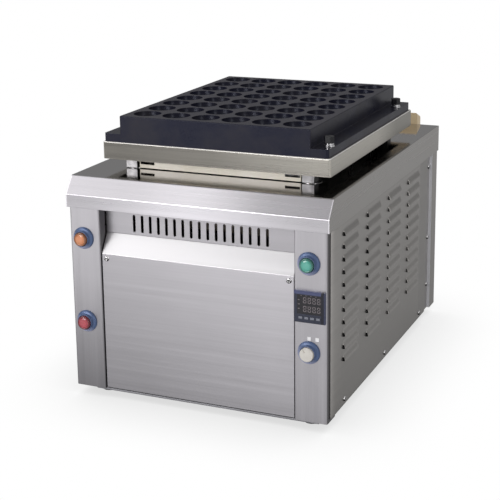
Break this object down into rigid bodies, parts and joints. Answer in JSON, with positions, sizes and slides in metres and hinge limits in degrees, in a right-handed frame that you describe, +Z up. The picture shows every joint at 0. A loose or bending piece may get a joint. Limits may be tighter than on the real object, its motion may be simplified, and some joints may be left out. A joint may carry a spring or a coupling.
{
  "type": "takoyaki maker",
  "caption": "Countertop gas cooker with a cast plate of round cups on an orbiting carriage, louvred steel case, push buttons and a temperature controller.",
  "frame": {"origin": "on the floor under the middle of the part's overall width and depth", "axes": "+Z up, front with the controls towards -Y, +X to the right of someone facing the front"},
  "size_m": [0.4154, 0.5946, 0.4202],
  "materials": {
    "brushed_stainless": "fine brushed grain",
    "polished_stainless": "mirror polish",
    "satin_stainless": "satin, slightly warm",
    "seasoned_iron": "seasoned, oiled black",
    "cream_enamel": "stoved enamel, satin",
    "bright_steel": "bright turned",
    "zinc_steel": "zinc plated, dull",
    "heat_tinted_steel": "straw tinted by heat",
    "dark_grey_paint": "fine matt",
    "bronze": "oil-filled bearing bronze",
    "brass": "turned",
    "grey_alloy": "die cast",
    "black_plastic": "fine grain",
    "navy_plastic": "satin",
    "white_ceramic": "glazed",
    "slate_bezel": "satin anodised",
    "orange_lens": "clear tinted",
    "red_lens": "clear tinted",
    "green_lens": "clear tinted",
    "ivory_plastic": "satin",
    "grey_key": "satin",
    "smoked_pane": "smoked clear",
    "rubber": "matt"
  },
  "bodies": {
    "case": {"base_plate": "dark_grey_paint", "bearing_housings": "grey_alloy", "burner_box": "satin_stainless", "burner_tubes": "satin_stainless", "cable_gland": "black_plastic", "contact_blocks": "black_plastic", "control_bezels": "slate_bezel", "controller_case": "navy_plastic", "controller_window": "smoked_pane", "drive_motor": "dark_grey_paint", "drive_rails": "zinc_steel", "electrodes": "white_ceramic", "exhaust_flue": "heat_tinted_steel", "front_column_left": "brushed_stainless", "front_column_right": "brushed_stainless", "front_cover": "brushed_stainless", "front_cover_screws": "bright_steel", "gas_inlet": "brass", "gas_manifold": "zinc_steel", "gas_pipes": "zinc_steel", "gas_valve": "grey_alloy", "gearbox": "grey_alloy", "groove_screws": "bright_steel", "ignition_box": "black_plastic", "injectors": "brass", "motor_bracket": "zinc_steel", "rear_panel": "brushed_stainless", "rear_post_left": "brushed_stainless", "rear_post_right": "brushed_stainless", "rubber_feet": "rubber", "side_panel_left": "brushed_stainless", "side_panel_right": "brushed_stainless", "side_screws": "bright_steel", "terminal_block": "black_plastic", "top_cover": "polished_stainless", "valve_stand": "zinc_steel", "vent_panel": "brushed_stainless"},
    "plate_carriage": {"carrier_tray": "satin_stainless", "cooking_plate": "seasoned_iron", "temperature_probe": "bright_steel", "heat_skirt": "cream_enamel", "support_posts": "bright_steel", "post_bushes": "bronze", "plate_bolts": "bright_steel", "plate_washers": "bright_steel"},
    "driven_crank": {"drive_crank": "bright_steel", "shaft_coupling": "bright_steel", "output_shaft": "bright_steel"},
    "front_left_crank": {"idler_crank_front_left": "bright_steel"},
    "front_right_crank": {"idler_crank_front_right": "bright_steel"},
    "rear_left_crank": {"idler_crank_rear_left": "bright_steel"},
    "orange_cap": {"orange_button": "orange_lens"},
    "red_cap": {"red_button": "red_lens"},
    "green_cap": {"green_button": "green_lens"},
    "selector": {"selector_knob": "ivory_plastic"},
    "mode_key": {"key_mode": "grey_key"},
    "shift_key": {"key_shift": "grey_key"},
    "down_key": {"key_down": "grey_key"},
    "up_key": {"key_up": "grey_key"}
  },
  "joints": [
    {"name": "drive_turn", "type": "hinge", "parent": "case", "child": "driven_crank", "pos_m": [0.1415, 0.16675, 0.328], "axis": [0, 0, 1], "continuous": true},
    {"name": "plate_swing", "type": "hinge", "parent": "driven_crank", "child": "plate_carriage", "pos_m": [0.1415, 0.16075, 0.353], "axis": [0, 0, 1], "continuous": true},
    {"name": "front_left_turn", "type": "hinge", "parent": "case", "child": "front_left_crank", "pos_m": [-0.1415, -0.18525, 0.328], "axis": [0, 0, 1], "continuous": true},
    {"name": "front_right_turn", "type": "hinge", "parent": "case", "child": "front_right_crank", "pos_m": [0.1415, -0.18525, 0.328], "axis": [0, 0, 1], "continuous": true},
    {"name": "rear_left_turn", "type": "hinge", "parent": "case", "child": "rear_left_crank", "pos_m": [-0.1415, 0.16675, 0.328], "axis": [0, 0, 1], "continuous": true},
    {"name": "orange_press", "type": "slide", "parent": "case", "child": "orange_cap", "axis": [0, 1, 0], "range_m": [0, 0.003], "stiffness_N_per_m": 500},
    {"name": "red_press", "type": "slide", "parent": "case", "child": "red_cap", "axis": [0, 1, 0], "range_m": [0, 0.003], "stiffness_N_per_m": 500},
    {"name": "green_press", "type": "slide", "parent": "case", "child": "green_cap", "axis": [0, 1, 0], "range_m": [0, 0.003], "stiffness_N_per_m": 500},
    {"name": "selector_turn", "type": "hinge", "parent": "case", "child": "selector", "pos_m": [0.17435, -0.28525, 0.119], "axis": [0, 1, 0], "range_deg": [0, 60]},
    {"name": "mode_press", "type": "slide", "parent": "case", "child": "mode_key", "axis": [0, 1, 0], "range_m": [0, 0.0006], "stiffness_N_per_m": 400},
    {"name": "shift_press", "type": "slide", "parent": "case", "child": "shift_key", "axis": [0, 1, 0], "range_m": [0, 0.0006], "stiffness_N_per_m": 400},
    {"name": "down_press", "type": "slide", "parent": "case", "child": "down_key", "axis": [0, 1, 0], "range_m": [0, 0.0006], "stiffness_N_per_m": 400},
    {"name": "up_press", "type": "slide", "parent": "case", "child": "up_key", "axis": [0, 1, 0], "range_m": [0, 0.0006], "stiffness_N_per_m": 400}
  ],
  "couplings": [
    {"joint": "plate_swing", "follows": "drive_turn", "ratio": -1},
    {"joint": "front_left_turn", "follows": "drive_turn", "ratio": 1},
    {"joint": "front_right_turn", "follows": "drive_turn", "ratio": 1},
    {"joint": "rear_left_turn", "follows": "drive_turn", "ratio": 1}
  ]
}
